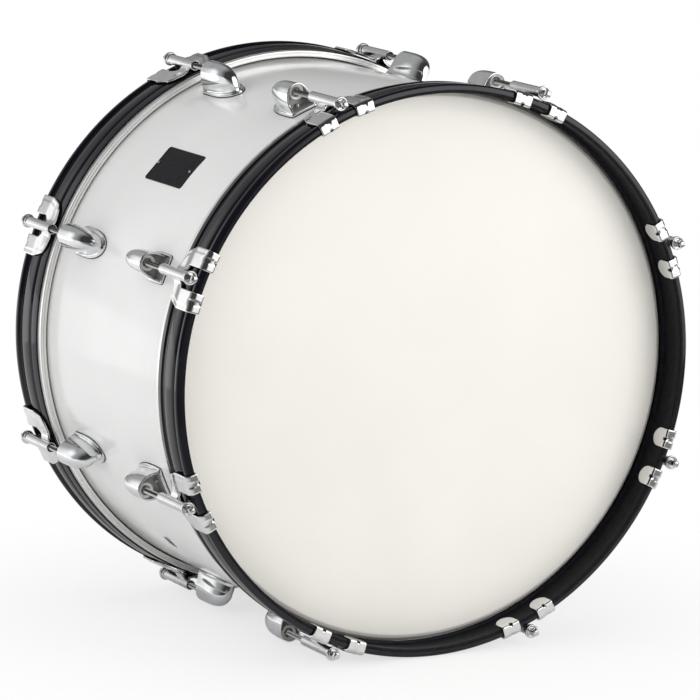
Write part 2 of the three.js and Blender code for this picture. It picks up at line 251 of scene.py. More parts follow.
def put(name, data):
    """An object that shows a mesh, a lamp or a camera, at the origin of the scene."""
    thing = bpy.data.objects.new(name, data)
    scene.collection.objects.link(thing)
    return thing


def mesh_of(name, solid):
    """A mesh of a solid, in metres, moved up so that the drum lies on the floor."""
    points, quads, tris = solid
    placed = (points + np.array([0, 0, axis_height])) * mm
    mesh = bpy.data.meshes.new(name)
    mesh.from_pydata(placed.tolist(), [], quads.tolist() + tris.tolist())
    return mesh


def make_piece(name, solid, material, body, nodes=()):
    """Makes a smooth piece of a solid and lets it ride on its body."""
    mesh = mesh_of(name, solid)
    mesh.polygons.foreach_set("use_smooth", np.ones(len(mesh.polygons), bool))
    mesh.set_sharp_from_angle(angle=CREASE)
    mesh.materials.append(material)
    mesh.update()
    piece = put(name, mesh)
    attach(piece, body)
    if nodes:
        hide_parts(*nodes)
    return piece


def refinish(piece, material, chosen):
    """Gives the chosen faces of a piece, a true or false for each face, another material."""
    number = np.empty(len(piece.data.polygons), np.int32)
    piece.data.polygons.foreach_get("material_index", number)
    piece.data.materials.append(material)
    number[np.asarray(chosen)] = len(piece.data.materials) - 1
    piece.data.polygons.foreach_set("material_index", number)


# %% [markdown]
# Every finish is a Principled surface with its own small faults, because a flat colour looks like
# a drawing. Noise in Object coordinates gives the orange peel of lacquer, the faint cloudiness of
# the plastic head and the drawing lines of aluminium, each at its real size.


# %% Helpers for materials
def finish(name, colour, roughness, metallic=0.0):
    """A Principled material, with its node tree, ready for more nodes."""
    material = bpy.data.materials.new(name)
    material.use_nodes = True
    tree = material.node_tree
    surface = tree.nodes["Principled BSDF"]
    surface.inputs["Base Color"].default_value = (*colour, 1)
    surface.inputs["Roughness"].default_value = roughness
    surface.inputs["Metallic"].default_value = metallic
    return material, tree, surface


def noise(tree, scale, detail=2.0, stretch=(1, 1, 1), distortion=0.0):
    """Noise in Object coordinates, stretched along the axes, with about scale lumps to a metre."""
    where = tree.nodes.new("ShaderNodeTexCoord")
    mapping = tree.nodes.new("ShaderNodeMapping")
    mapping.inputs["Scale"].default_value = stretch
    texture = tree.nodes.new("ShaderNodeTexNoise")
    texture.inputs["Scale"].default_value = scale
    texture.inputs["Detail"].default_value = detail
    texture.inputs["Distortion"].default_value = distortion
    tree.links.new(where.outputs["Object"], mapping.inputs["Vector"])
    tree.links.new(mapping.outputs["Vector"], texture.inputs["Vector"])
    return texture


def mottled(tree, surface, texture, low, high, socket="Base Color"):
    """Feeds a socket with a mix of two colours, from low to high over the middle of a texture."""
    mix = tree.nodes.new("ShaderNodeValToRGB")
    for stop, position, colour in zip(mix.color_ramp.elements, (0.35, 0.65), (low, high)):
        stop.position, stop.color = position, (*colour, 1)
    tree.links.new(texture.outputs["Fac"], mix.inputs["Fac"])
    tree.links.new(mix.outputs["Color"], surface.inputs[socket])


def bump(tree, surface, texture, height):
    """Lets a texture raise the surface by a height in millimetres."""
    node = tree.nodes.new("ShaderNodeBump")
    node.inputs["Distance"].default_value = height * mm
    node.inputs["Strength"].default_value = 1.0
    tree.links.new(texture.outputs["Fac"], node.inputs["Height"])
    tree.links.new(node.outputs["Normal"], surface.inputs["Normal"])


# %% White wrap, heads and wood
def white_wrap():
    """Glossy plastic sheet with a very shallow orange peel."""
    material, tree, surface = finish("white wrap", (0.84, 0.84, 0.835), 0.14)
    mottled(tree, surface, noise(tree, 9), (0.83, 0.83, 0.825), (0.86, 0.86, 0.855))
    bump(tree, surface, noise(tree, 160, 1), 0.02)
    return material


def head_film():
    """Milky plastic film: warm white, slightly cloudy, with a satin face."""
    material, tree, surface = finish("head film", (0.85, 0.825, 0.77), 0.38)
    mottled(tree, surface, noise(tree, 5, 3, distortion=0.4), (0.84, 0.815, 0.757), (0.87, 0.845, 0.79))
    mottled(tree, surface, noise(tree, 14, 4), (0.34, 0.34, 0.34), (0.44, 0.44, 0.44), "Roughness")
    bump(tree, surface, noise(tree, 900, 2), 0.012)
    return material


def maple():
    """Bent plies, with long grain round the shell. Only the vent lets us see them."""
    material, tree, surface = finish("maple plies", (0.62, 0.45, 0.27), 0.5)
    grain = noise(tree, 60, 6, stretch=(0.4, 6, 0.4), distortion=1.2)
    mottled(tree, surface, grain, (0.50, 0.34, 0.19), (0.70, 0.53, 0.33))
    bump(tree, surface, grain, 0.08)
    return material


finishes = {"wrap": white_wrap(), "film": head_film(), "wood": maple()}
print("finishes so far:", ", ".join(finishes))

# %% [markdown]
# Chrome and black lacquer are nearly all reflection, so their colour and roughness matter less than
# the waves in them. One function makes every plated finish, because they differ only in colour, in
# gloss and in the waves of the metal beneath. The nuts and the raw insides of the lugs are only
# partly metallic, which is how dull zinc looks.

# %% Metals, lacquer and rubber
def flesh_metal():
    """Drawn aluminium, a little dull, with fine lines that run round the ring."""
    material, tree, surface = finish("flesh hoop", (0.80, 0.795, 0.78), 0.3, metallic=0.75)
    lines = noise(tree, 420, 3, stretch=(0.02, 1, 0.02))
    mottled(tree, surface, lines, (0.84, 0.83, 0.81), (0.96, 0.955, 0.94))
    bump(tree, surface, lines, 0.06)
    return material


def black_lacquer():
    """Gloss black over rolled metal, with orange peel about 6 mm across."""
    material, tree, surface = finish("black lacquer", (0.005, 0.005, 0.008), 0.08)
    surface.inputs["IOR"].default_value = 1.46
    mottled(tree, surface, noise(tree, 30, 3), (0.003, 0.003, 0.006), (0.007, 0.007, 0.011))
    bump(tree, surface, noise(tree, 170, 1), 0.018)
    return material


def matt_black_and_slot_shade():
    """The same black with a dull face that mirrors little, on the hoop's inner wall. On the claws' slots it
    is painted shade: chrome faces coloured black for the shade that falls in the slot.
    """
    material, tree, surface = finish("matt black and slot shade", (0.005, 0.005, 0.008), 0.5)
    surface.inputs["Specular IOR Level"].default_value = 0.12
    mottled(tree, surface, noise(tree, 200, 3), (0.004, 0.004, 0.006), (0.009, 0.009, 0.012))
    bump(tree, surface, noise(tree, 300, 2), 0.02)
    return material


def chrome(name, colour, roughness, wave, metallic=1.0):
    """Polished plate over a casting or a pressing, whose waves bend the reflections."""
    material, tree, surface = finish(name, colour, roughness, metallic=metallic)
    dull = tuple(c * 0.95 for c in colour)
    bright = tuple(min(c * 1.03, 1) for c in colour)
    mottled(tree, surface, noise(tree, 90, 3), dull, bright)
    bump(tree, surface, noise(tree, 130, 1), wave)
    return material


def rubber(name, grey):
    """Matt black rubber or felt, with a fine grain."""
    material, tree, surface = finish(name, (grey, grey, grey * 1.05), 0.75)
    mottled(tree, surface, noise(tree, 400, 3), (grey * 0.7,) * 3, (grey * 1.4,) * 3)
    bump(tree, surface, noise(tree, 1500, 2), 0.05)
    return material


def badge_black():
    """Black lacquered plate, satin, left bare."""
    material, tree, surface = finish("badge plate", (0.012, 0.012, 0.014), 0.34, metallic=0.2)
    surface.inputs["IOR"].default_value = 1.15
    mottled(tree, surface, noise(tree, 220, 3), (0.009, 0.009, 0.011), (0.016, 0.016, 0.019))
    bump(tree, surface, noise(tree, 700, 2), 0.02)
    return material


finishes |= {
    "flesh": flesh_metal(), "black": black_lacquer(), "matt": matt_black_and_slot_shade(), "badge": badge_black(),
    "pressed": chrome("chrome on pressed claws", (0.80, 0.80, 0.795), 0.08, 0.03),
    "cast": chrome("chrome on cast lugs", (0.78, 0.79, 0.80), 0.08, 0.03),
    "steel": chrome("plated steel", (0.72, 0.72, 0.72), 0.16, 0.01),
    "tube": chrome("satin chrome on tubes", (0.74, 0.74, 0.74), 0.26, 0.01),
    "nut": chrome("dull zinc on nuts", (0.70, 0.69, 0.66), 0.36, 0.01, 0.4),
    "as cast": chrome("lug casting inside", (0.5, 0.495, 0.48), 0.42, 0.05, 0.4),
    "gasket": rubber("gasket rubber", 0.03), "pad": rubber("claw pad", 0.04),
}
print("finishes:", len(finishes))

# %% [markdown]
# The shell is a tube of plies with a narrow bearing edge at both ends, and the wrap is a thin skin
# round it. Both are closed outlines turned about the axis, 360 sides round, which is smooth enough
# for a drum half a metre across. The lugs' screws fill their holes, so those aren't cut.

# %% Shell and wrap
RING_SIDES = 360
WRAP = 0.8
PLY = 7.0
GAP = 0.3
ply_outer = shell_radius - WRAP - GAP
ply_inner = ply_outer - PLY
EDGE_OUT, EDGE_IN, EDGE_FLAT = 2.6, 3.4, 1.0


def mirrored_outline(half):
    """Closes an outline by its mirror image at the other end of the drum."""
    return list(half) + [(r, -y, radius) for r, y, radius in reversed(half)]


plies = turned(rounded(mirrored_outline([
    (ply_inner, half_depth - EDGE_IN, 0.6),
    (ply_outer - EDGE_OUT - EDGE_FLAT, half_depth, 0.7),
    (ply_outer - EDGE_OUT, half_depth, 0.7),
    (ply_outer, half_depth - EDGE_OUT, 1.5)])), RING_SIDES)
ply_tube = make_piece("plies", plies, finishes["wood"], "drum", ["shell"])
wrap = turned(rounded(mirrored_outline([
    (shell_radius - WRAP, wrap_end, 0), (shell_radius, wrap_end, 0.3)])), RING_SIDES)
wrap_skin = make_piece("wrap", wrap, finishes["wrap"], "drum", ["shell_wrap"])
print("shell", round(2 * shell_radius), "mm across and", round(2 * half_depth), "mm deep")

# %% [markdown]
# A head is a film that is flat over the bearing edge, bends down in a collar and ends in the slot
# of its flesh hoop. The collar is what catches the light beside the black hoop, so its bend is
# rounded. The flesh hoop is a drawn aluminium ring with a fine groove outside and one underneath.

# %% Heads and flesh hoops
FILM = 0.5
peak = ply_outer - EDGE_OUT
SHOULDER = 2.2


def head():
    """The film, turned about the axis: its underside and its top lie a film's thickness apart."""
    under = film_top - FILM
    shoulder = ply_outer + 2 * GAP
    bend = flesh_top + 1
    inner = collar_radius - FILM
    outline = rounded([
        (0.5, under, 0), (peak, under, 3), (shoulder, under - SHOULDER, 2),
        (inner, bend, 1.2), (inner, skirt_end, 0), (collar_radius, skirt_end, 0),
        (collar_radius, bend, 1.6), (shoulder + FILM, film_top - SHOULDER, 2.4),
        (peak + GAP, film_top, 3.4), (0.5, film_top, 0)], steps=7)
    flat = np.array([60, 130, 200])
    below, above = np.stack([flat, flat * 0 + under], -1), np.stack([flat, flat * 0 + film_top], -1)
    whole = np.vstack([outline[:1], below, outline[1:-1], above[::-1], outline[-1:]])
    return turned(whole, RING_SIDES, closed=False)


def flesh_hoop():
    """The turned ring: the film's slot in its top, and fine grooves outside and underneath.

    The underside is what shows on the far end of the drum, beside a dark gap round the shell.
    """
    inner = shell_radius + 1.7
    slot_in, slot_out = collar_radius - FILM - GAP, collar_radius + GAP
    floor = skirt_end - GAP
    cut = 0.8
    low = flesh_bottom
    return turned(rounded([
        (inner, low, 0.4), (inner, flesh_top, 0.5), (slot_in, flesh_top, 0.4),
        (slot_in, floor, 0.2), (slot_out, floor, 0.2), (slot_out, flesh_top, 0.4),
        (flesh_outer, flesh_top, 1.2), (flesh_outer, low + 6.5, 0.2),
        (flesh_outer - cut, low + 6.2, 0.2), (flesh_outer - cut, low + 5.3, 0.2),
        (flesh_outer, low + 5.0, 0.2), (flesh_outer, low, 0.7),
        (flesh_outer - 2.3, low, 0.2), (flesh_outer - 2.5, low + cut, 0.2),
        (flesh_outer - 3.4, low + cut, 0.2), (flesh_outer - 3.6, low, 0.2)], steps=4), RING_SIDES)


for end in ENDS:
    make_piece(f"{end}_head", at_place(head(), end, 0), finishes["film"], "drum",
               [f"{end}_head_film"])
    make_piece(f"{end}_flesh_ring", at_place(flesh_hoop(), end, 0), finishes["flesh"], "drum",
               [f"{end}_flesh_hoop"])
print("heads flat to", round(peak, 1), "mm, collar out to", round(collar_radius, 1), "mm")

# %% [markdown]
# The counter hoop is a metal strip rolled into a profile: a fat bead at the free edge, a groove, a
# broad band, a second groove, a lip over the flesh hoop and a ledge inside that pushes it down.
# The reflections that make black lacquer look like lacquer come from these bends, so each corner
# has its own radius.

# %% Counter hoops
BEAD = 8.9


def counter_hoop():
    """Turns an outline of radii and depths below the free edge, each corner with its bend radius.

    The band is a shallow arch, crown - 0.9 ((depth - 24) / 9.5)^2, so that a box of light shows on
    it as one soft stripe. The face of the bead falls back towards its outside, and the lip narrows
    towards the shell.
    """
    outside, width = hoop_radius, free_edge - hoop_shell_edge
    bead_in, wall, ledge_tip = outside - BEAD, outside - 6.9, collar_radius - 0.9
    groove, crown, lip = outside - 3.4, outside - 1.2, outside - 1.7
    lip_in = flesh_outer + GAP
    ledge = free_edge - flesh_top - GAP
    band = [(crown - 0.9 * t * t, 24 + 9.5 * t, 0) for t in np.linspace(-1, 1, 9)]
    profile = [
        (bead_in, 0, 1.3), (outside - 5.4, 0.1, 2.5), (outside - 0.1, 1.3, 3.2), (outside, 7.0, 2.4),
        (groove, 9.6, 1.2), (groove, 13.0, 1.0), *band, (groove, 35.2, 1.0), (groove, 39.0, 1.0),
        (lip, 40.6, 0.8), (lip - 1.2, width, 0.5),
        (lip_in, width, 0.4), (lip_in, ledge, 0.4), (collar_radius + 0.8, ledge, 0.5),
        (ledge_tip, ledge - 6.3, 0.7), (ledge_tip, ledge - 7.9, 0.7), (wall, ledge - 9.5, 1.6),
        (wall, 10.4, 1.6), (bead_in, 8.4, 0.9)]
    return turned(rounded([(r, free_edge - u, bend) for r, u, bend in profile], steps=6), RING_SIDES)


def within(piece, radius):
    """Which faces of a piece lie nearer to the drum's axis than a radius."""
    centres = np.empty(len(piece.data.polygons) * 3)
    piece.data.polygons.foreach_get("center", centres)
    x, _, z = centres.reshape(-1, 3).T / mm
    return np.hypot(x, z - axis_height) < radius


for end in ENDS:
    rolled = make_piece(f"{end}_hoop", at_place(counter_hoop(), end, 0), finishes["black"],
                        f"{end}_hoop", [f"{end}_counter_hoop"])
    refinish(rolled, finishes["matt"], within(rolled, hoop_radius - 6.4))
print("hoop", round(free_edge - hoop_shell_edge, 1), "mm wide")

# %% [markdown]
# A claw is one pressed sheet: a plate on the hoop's band with two feet, each folded over the free
# edge and hooked inside it. One half of the sheet is a grid. Its rows follow the fold, from the
# tail over the bead to the round end of the tab, and its columns run across the foot. Its mirror
# image makes the other half, and the two are joined along the middle where the plate is whole.

# %% The fold that a claw's sheet follows
SHEET = 2.0
FOOT_IN, FOOT_OUT = 11.6, 31.8
CROWN_BEND, HEEL_BEND = 5.4, 2.4
PLATE_ROWS, CROWN_ROWS = 35, 10
fold_face = free_edge + GAP + SHEET
plate_high = hoop_radius + 0.55 + SHEET
plate_low = hoop_radius - 0.9 + SHEET
tab_under = hoop_radius - BEAD - 0.6 - SHEET
tail_y = hoop_shell_edge + 1.0


def smooth(value, start, stop):
    """Rises from 0 at start to 1 at stop as t t (3 - 2 t)."""
    t = np.clip((value - start) / (stop - start), 0, 1)
    return t * t * (3 - 2 * t)


def arc(y, z, radius, start, stop, count):
    """Points round a centre, by angle from the outward axis direction towards the radius."""
    turn = np.radians(np.linspace(start, stop, count))
    return np.stack([y + radius * np.cos(turn), z + radius * np.sin(turn)], -1)


def fold_path():
    """Outer face of the sheet as (y, z): plate, bend, fold face, bend and tab.

    The plate rises by a smooth step where the band of the hoop does.
    """
    crown, heel = CROWN_BEND, HEEL_BEND
    plate_y = np.linspace(tail_y, fold_face - crown, PLATE_ROWS + 1)[:-1]
    rise = smooth(plate_y, hoop_shell_edge + 12.5, hoop_shell_edge + 26.5)
    plate_z = plate_low + (plate_high - plate_low) * rise
    face = np.linspace(plate_high - crown, tab_under + heel, 6)[1:-1]
    tab_y = np.linspace(fold_face - heel, fold_face - 22, 18)[1:]
    return np.vstack([
        np.stack([plate_y, plate_z], -1),
        arc(fold_face - crown, plate_high - crown, crown, 90, 0, CROWN_ROWS),
        np.stack([np.full(len(face), fold_face), face], -1),
        arc(fold_face - heel, tab_under + heel, heel, 0, -90, 8),
        np.stack([tab_y, np.full(len(tab_y), tab_under)], -1)])


path = fold_path()
steps_along = np.linalg.norm(np.diff(path, axis=0), axis=1)
along = np.concatenate([[0], np.cumsum(steps_along)])
slope = np.gradient(path, along, axis=0)
slope /= np.linalg.norm(slope, axis=1)[:, None]
away = np.stack([-slope[:, 1], slope[:, 0]], -1)
tab_start = along[np.argmax(path[:, 1] <= tab_under + 1e-6)]
plate_end = along[PLATE_ROWS]
crown_middle = (plate_end + along[PLATE_ROWS + CROWN_ROWS - 1]) / 2
from_tail = path[:, 0] - hoop_shell_edge
print("claw sheet, unfolded:", round(along[-1], 1), "mm long, tab from", round(tab_start, 1))


# %% One half of the sheet, and its mirror image
foot_middle = (FOOT_IN + FOOT_OUT) / 2


def half_edges():
    """Inner and outer edge of the half sheet at each row of the fold.

    On the plate they follow an outline by the distance from the hoop's edge at the shell. On the
    tab the width closes in a half circle.
    """
    on_plate = along < plate_end
    outer = np.interp(from_tail, [1.0, 2.7, 5.5, 9.5, 22.5, 24.5], [5, 12, 21, 26.6, 31.2, FOOT_OUT])
    inner = np.interp(from_tail, [15.5, 18.7, 23.1, 23.9], [0, 6, 11.0, FOOT_IN])
    outer, inner = np.where(on_plate, outer, FOOT_OUT), np.where(on_plate, inner, FOOT_IN)
    half = (FOOT_OUT - FOOT_IN) / 2
    left = np.clip(along[-1] - along, 0.12, half)
    width = np.sqrt(np.maximum(half ** 2 - (half - left) ** 2, 0))
    ends = along > tab_start
    return np.where(ends, foot_middle - width, inner), np.where(ends, foot_middle + width, outer)


def pressed_groove(x, s):
    """Depth pressed into each foot, at x across the sheet and s along it.

    A channel 4 mm wide dips by 0.8 exp(-(t / 5)^2) round the middle of the crown bend, and a slot
    2 mm wide dips by 1.1 exp(-(t / 1.7)^2) just before the tab.
    """
    aside = np.abs(x - foot_middle)
    channel = 0.8 * np.exp(-((s - crown_middle) / 5.0) ** 2) * (1 - smooth(aside, 2.0, 3.1))
    slot = 1.1 * np.exp(-((s - tab_start + 2.4) / 1.7) ** 2) * (1 - smooth(aside, 1.0, 1.9))
    return channel + slot


def claw_sheet():
    """The pressed sheet's outer and inner face, and the inner edge of its half.

    Each point is path + away * lift, where lift is the sum of a raised panel 6 mm inside the
    outer edge, the pressed groove, a saddle under the tube and an eased edge. The inner face
    follows 0.9 of the groove and, where the saddle is over 0.3003 high, 0.8 of the saddle.
    """
    inner, outer = half_edges()
    width = (outer - inner)[:, None]
    rim = np.minimum([0, 0.25], np.maximum(width, 1e-6) / 4)
    across = 0.7 + (width - 1.4) * np.linspace(0, 1, 19)
    from_inner = np.concatenate([rim, across, width - rim[:, ::-1]], 1)
    from_outer = width - from_inner
    x, s = inner[:, None] + from_inner, along[:, None]
    nearest = np.where(inner[:, None] > 0.01, np.minimum(from_inner, from_outer), from_outer)
    eased = -0.5 * (1 - np.clip(nearest / 0.7, 0, 1)) ** 2
    panel = 0.42 * smooth(from_outer, 5.2, 6.3) * (1 - smooth(s, along[PLATE_ROWS - 2], plate_end + 3))
    groove = -pressed_groove(x, s)
    free = 1 - smooth(from_tail[:, None], 15.5, 21.5)
    saddle = (rod_circle - plate_low - 1.5) * np.exp(-(x / 4.6) ** 2) * free * (s < plate_end)

    def lifted(lift):
        """The grid of points, each raised off the fold by its lift."""
        return np.stack([x, path[:, :1] + away[:, :1] * lift, path[:, 1:] + away[:, 1:] * lift], -1)

    under_lift = np.where(saddle > 0.3003, saddle * 0.8, 0) + groove * 0.9 - SHEET + 0.3
    return lifted(eased + panel + groove + saddle), lifted(under_lift), inner


def sheet_solid(top, under, inner):
    """Joins both faces of the half sheet and its mirror image into one closed solid.

    Points that fall together are merged. The rim along the inner edge is left out where both
    halves meet on the middle line, and each end row gets its own rim.
    """
    rows, columns = top.shape[:2]
    index = np.arange(rows * columns).reshape(rows, columns)
    lower = index + rows * columns

    def strip(a, b):
        """Quads between two rows of point numbers."""
        return np.stack([a[:-1], a[1:], b[1:], b[:-1]], -1).reshape(-1, 4)

    def cells(grid):
        """Quads between all neighbours in a grid of point numbers."""
        return np.stack([grid[:-1, :-1], grid[1:, :-1], grid[1:, 1:], grid[:-1, 1:]], -1).reshape(-1, 4)

    first = np.flatnonzero(inner > 0.01)[0] - 1
    quads = np.concatenate([
        cells(index), cells(lower)[:, ::-1],
        strip(lower[first:, 0], index[first:, 0]),
        strip(index[:, -1], lower[:, -1]),
        strip(index[0, :], lower[0, :])[:, ::-1],
        strip(index[-1, :], lower[-1, :])])
    points = np.concatenate([top.reshape(-1, 3), under.reshape(-1, 3)])
    mirror = points * np.array([-1, 1, 1])
    all_points = np.concatenate([points, mirror])
    all_quads = np.concatenate([quads, quads[:, ::-1] + len(points)])
    merged, back = np.unique(np.round(all_points, 4) + 0.0, axis=0, return_inverse=True)
    return outward(merged, back.reshape(-1)[all_quads], np.zeros((0, 3), int))


flat_sheet = sheet_solid(*claw_sheet())
print("claw sheet:", len(flat_sheet[0]), "points and", len(flat_sheet[1]), "quads")

# %% [markdown]
# The rod's tube lies in the saddle of the plate. It is a plain tube, bored wider at the end that
# looks at the lug, with a collar at its outer end. Thin pads under each foot and each tab keep the
# sheet off the lacquer. The tube is satin, so its faces get a material of their own. The faces inside
# the pressed slots beside the tabs get the matt black as painted shade for the shade in the slot.

# %% The tube, the pads and the claws in their places
TUBE, BORE = 5.2, 3.9
SLOT_MIDDLE, SLOT_HALF = 21.5, 1.5
tube_front = free_edge - 5
tube_back = tube_front - 58


def tube():
    """The tube, turned about its own axis and moved out to the circle of the rods."""
    outline = rounded([
        (BORE, tube_back + 5.2, 0.2), (TUBE - 0.75, tube_back + 4.4, 0.2), (TUBE - 0.75, tube_back, 0.2),
        (TUBE + 0.1, tube_back, 0.35), (TUBE + 0.1, tube_back + 1.8, 0.2), (TUBE, tube_back + 2.1, 0.2),
        (TUBE, tube_front - 4, 0.6), (TUBE + 0.9, tube_front - 2.8, 0.6),
        (TUBE + 0.9, tube_front, 0.4), (BORE, tube_front, 0.3)], steps=4)
    return moved(turned(outline, 40), z=rod_circle)


def block(x0, x1, y0, y1, z0, z1):
    """A closed box between two corners, as a stack of two rings."""
    ring = np.array([[x0, y0], [x1, y0], [x1, y1], [x0, y1]])
    rings = np.stack([np.column_stack([ring, np.full(4, z)]) for z in (z0, z1)])
    return lofted(rings)


def pads():
    """Two felt pads on the hoop's crown and two under the tabs."""
    crown = hoop_radius + 0.12
    made = []
    for side in (-1, 1):
        x0, x1 = sorted((side * (FOOT_IN + 1.2), side * (FOOT_OUT - 1.2)))
        made.append(block(x0, x1, free_edge - 17, free_edge - 5, crown, crown + 0.4))
        under = tab_under + SHEET
        made.append(block(x0, x1, free_edge - 7.4, free_edge - 1.4, under + 0.05, under + 0.5))
    return together(*made)


claw = together(bent_round(flat_sheet, hoop_radius), tube())
claw_pads = bent_round(pads(), hoop_radius)
face_x, face_y, face_z = flat_sheet[0][flat_sheet[1]].mean(1).T
near_slot = np.abs(np.abs(face_x) - SLOT_MIDDLE) < SLOT_HALF
# Painted shade: the chrome faces inside each pressed slot beside the tabs are picked here, to be coloured
# matt black.
slot_shade_faces = near_slot & (face_y > fold_face - 3.2) & (face_z < tab_under + 3.0)
on_sheet = np.arange(len(claw[1])) < len(slot_shade_faces)
painted_slot_shade = np.concatenate([slot_shade_faces, np.zeros(len(claw[1]) - len(slot_shade_faces), bool)])
for end, i, angle in stations:
    pressed = make_piece(f"{end}_claw_sheet_{i}", at_place(claw, end, angle), finishes["pressed"],
                         f"{end}_hoop", [f"{end}_claw_{i}"])
    refinish(pressed, finishes["tube"], ~on_sheet)
    # Painted shade: the slot's chrome faces are coloured matt black in place of the shade inside the slot.
    refinish(pressed, finishes["matt"], painted_slot_shade)
    make_piece(f"{end}_claw_pads_{i}", at_place(claw_pads, end, angle), finishes["pad"],
               f"{end}_hoop")
print("claw faces:", len(claw[1]) + len(claw[2]))

# %% [markdown]
# A tension rod is one surface: a ring of points is carried along the rod, and its radius changes
# with both the place and the angle. On the thread the radius follows a triangle wave of y / pitch
# less the turn, which is a true helix. At the key the circle becomes a rounded square.

# %% Tension rods
ROD = 2.9
ROD_SIDES = 20
PITCH = 25.4 / 24
THREAD_DEPTH = 0.55
FLANGE = 7.2
KEY = 3.2
flange_seat = tube_front + GAP
thread_end = tube_back + 6


def rod():
    """Rings of 20 points, 5 to each turn of the thread, then the shank, cup, recess and key.

    The key's section is a rounded square, KEY / (|cos t|^5 + |sin t|^5)^(1/5).
    """
    turn = np.arange(ROD_SIDES) * 2 * math.pi / ROD_SIDES
    all_round = np.ones(ROD_SIDES)
    thread_y = np.arange(rod_tail + 0.6, thread_end, PITCH / 5)
    wave = np.abs(2 * ((thread_y[:, None] / PITCH - turn / (2 * math.pi)) % 1) - 1)
    run_in = smooth(thread_y, rod_tail + 0.6, rod_tail + 2)
    run_out = 1 - smooth(thread_y, thread_end - 2, thread_end)
    blunt = 0.4 * (1 - smooth(thread_y, rod_tail, rod_tail + 1.5))
    thread_r = ROD - THREAD_DEPTH * wave * (run_in * run_out)[:, None] - blunt[:, None]
    cup = flange_seat + 3.4
    shape = rounded([
        (ROD, thread_end, 0), (ROD, flange_seat - 0.3, 0.2), (FLANGE - 0.7, flange_seat - 0.05, 0.3),
        (FLANGE, flange_seat + 1.2, 0.8), (FLANGE - 0.1, cup, 0.6), (FLANGE - 1.5, cup - 0.1, 0.4),
        (FLANGE - 2.3, cup - 1.5, 0.3), (KEY + 0.9, cup - 1.6, 0.2)], steps=4)[1:-1]
    key_y = np.array([cup - 1.5, cup, key_end - 2.6, key_end - 1.0, key_end - 0.35, key_end])
    key_scale = np.array([1, 1, 1, 0.97, 0.86, 0.66])
    square = KEY / (np.abs(np.cos(turn)) ** 5 + np.abs(np.sin(turn)) ** 5) ** 0.2
    radii = np.vstack([thread_r, np.outer(shape[:, 0], all_round), np.outer(key_scale, square)])
    y = np.concatenate([thread_y, shape[:, 1], key_y])
    rings = np.stack([radii * np.sin(turn), np.outer(y, all_round), radii * np.cos(turn)], -1)
    return moved(lofted(rings), z=rod_circle)


tension_rod = rod()
for end, i, angle in stations:
    make_piece(f"{end}_rod_and_key_{i}", at_place(tension_rod, end, angle), finishes["steel"],
               f"{end}_rod_{i}", [f"{end}_tension_rod_{i}"])
print("thread turns:", round((thread_end - rod_tail) / PITCH), "rod faces:", len(tension_rod[1]))

# %% [markdown]
# A bullet lug is a casting: an oval foot with a stepped edge, and on it a narrower body with upright
# walls and a rounded crown that drops to a blunt tail. Each ring here is one slice across it: under
# the foot, up one side, over the crown and down the other. After the last outer slice the rings
# turn back at the mouth and go inside, so that the mouth is a real hollow with a wall.

# %% Lug castings
LUG_LENGTH = 59.0
LUG_FOOT = 0.9
FOOT_HALF, BODY_HALF = 15.4, 13.6
CROWN_LOW, CROWN_RISE = 9.5, 19.7
PLATE = 2.6
WALL = 1.9
CORNER = 2.6
SETBACK = 4.5
lug_mouth = lug_tail + LUG_LENGTH
foot_radius = shell_radius + LUG_FOOT


def lug_slice(share, shrink=0.0, floor=0.0):
    """Half widths and heights of a slice at a share of the lug's length, as one closed ring.

    The foot's half width is FOOT_HALF (1 - t^2.6)^0.55 behind its widest place, and its corners at
    the mouth are quarter circles. The body is narrower: its half width falls as (1 - t^2.7)^0.5,
    its crown as (1 - t^4.4)^0.5, and its tail drops to the plate as a quarter circle. shrink takes
    a wall's thickness off the slice, and floor is the height of its underside.
    """
    back = np.clip((share - 0.3) / 0.7, 0, 1)
    front = np.clip((0.3 - share) / 0.3, 0, 1)
    foot = (FOOT_HALF - 0.4 * front ** 1.5) * (1 - back ** 2.6 * 0.995) ** 0.55
    near = np.clip(1 - share * LUG_LENGTH / CORNER, 0, 1)
    foot -= CORNER * (1 - math.sqrt(1 - near ** 2))
    body_back = np.clip((share - 0.06) / 0.88, 0, 1)
    half = BODY_HALF * (1 - body_back ** 2.7 * 0.985) ** 0.5 - shrink
    crown = CROWN_LOW + CROWN_RISE * (1 - body_back ** 4.4 * 0.98) ** 0.5 - shrink
    crease = 8.0 + 4.0 * smooth(share, 0.1, 0.8)
    tail = math.sqrt(1 - np.clip((share - 0.90) / 0.05, 0, 1) ** 2)
    if shrink:
        foot = half
    bottom = np.linspace(-1, 1, 7)[1:-1]
    turn = np.linspace(0, math.pi, 33)
    arch_x = half * np.sign(np.cos(turn)) * np.abs(np.cos(turn)) ** 0.86
    arch_z = crease + (crown - crease) * np.sin(turn) ** 0.92
    wall = half - (0.0 if shrink else 0.5 * smooth(share, 0.1, 0.4))
    side_z = np.array([PLATE + 0.5, PLATE + 1.4, crease - 0.9])
    right = [[foot, 0.0], [foot, 1.3], [foot - 0.45, 1.75], [foot - 1.0, 1.8], [foot - 1.25, 2.4],
             [min(wall + 0.6, foot - 1.35), PLATE]]
    if shrink:
        right = [[wall, floor + 0.1 * k] for k in range(6)]
    right += [[min(wall + 0.2 * (k == 0), foot), z] for k, z in enumerate(side_z)]
    right = np.array(right)
    ring_x = np.concatenate([right[:, 0], arch_x])
    ring_z = np.concatenate([right[:, 1], arch_z])
    if not shrink:
        ring_z = np.where(ring_z > PLATE, PLATE + (ring_z - PLATE) * max(tail, 0.004), ring_z)
    body = np.column_stack([ring_x, ring_z])
    left = body[:len(right)][::-1] * np.array([-1, 1])
    base = np.column_stack([bottom * (wall if shrink else foot), np.full(5, floor if shrink else 0.0)])
    return np.vstack([base, body, left])


